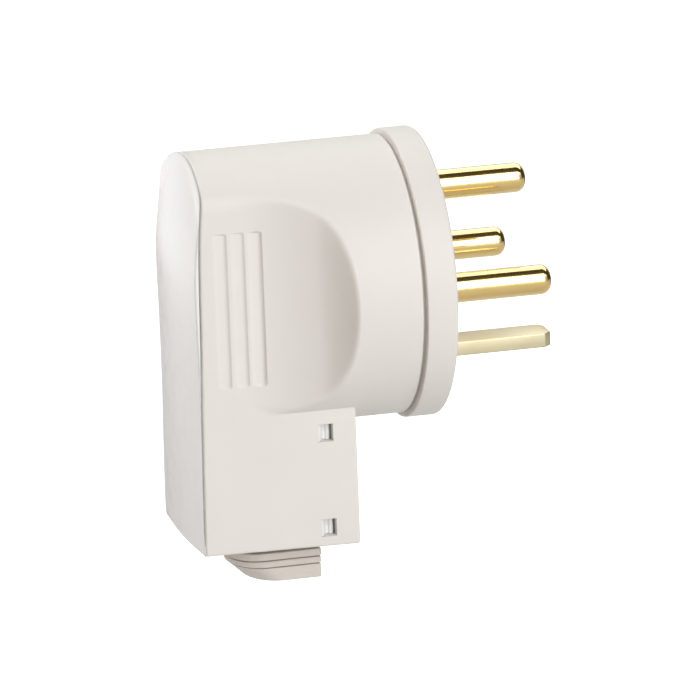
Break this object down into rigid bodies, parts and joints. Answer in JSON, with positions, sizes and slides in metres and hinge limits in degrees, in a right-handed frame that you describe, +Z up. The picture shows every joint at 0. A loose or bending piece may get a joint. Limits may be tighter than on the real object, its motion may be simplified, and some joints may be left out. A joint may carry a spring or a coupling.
{
  "type": "four-pin plug",
  "caption": "Right-angle rewirable mains plug: round flange with round pins and a flat earth blade, finger-grip body, cable box and stepped grommet.",
  "frame": {"origin": "on the engagement face, where the plug's axis meets it", "axes": "+X along the pins away from the body, +Z up with the cable leaving downwards, -Y the side nearest in the picture"},
  "size_m": [0.0747, 0.0562, 0.086],
  "materials": {
    "ivory_body": "satin moulded ivory plastic",
    "white_cover": "satin moulded off-white plastic",
    "inner_plastic": "matt moulded plastic",
    "pin_brass": "polished brass",
    "blade_brass": "rolled pale brass",
    "grommet": "soft matt beige-grey",
    "screw_steel": "zinc-plated"
  },
  "bodies": {
    "root": {"main_housing": "ivory_body", "rear_cover": "white_cover", "pin_carrier": "ivory_body", "round_pin_left": "pin_brass", "round_pin_top": "pin_brass", "round_pin_right": "pin_brass", "earth_blade": "blade_brass", "earth_clamp": "blade_brass", "terminal_screws": "screw_steel", "pin_retainer": "inner_plastic", "retainer_screw": "screw_steel", "carrier_screws": "screw_steel", "cable_grommet": "grommet", "cable_clamp": "inner_plastic", "clamp_screws": "screw_steel"}
  },
  "joints": []
}
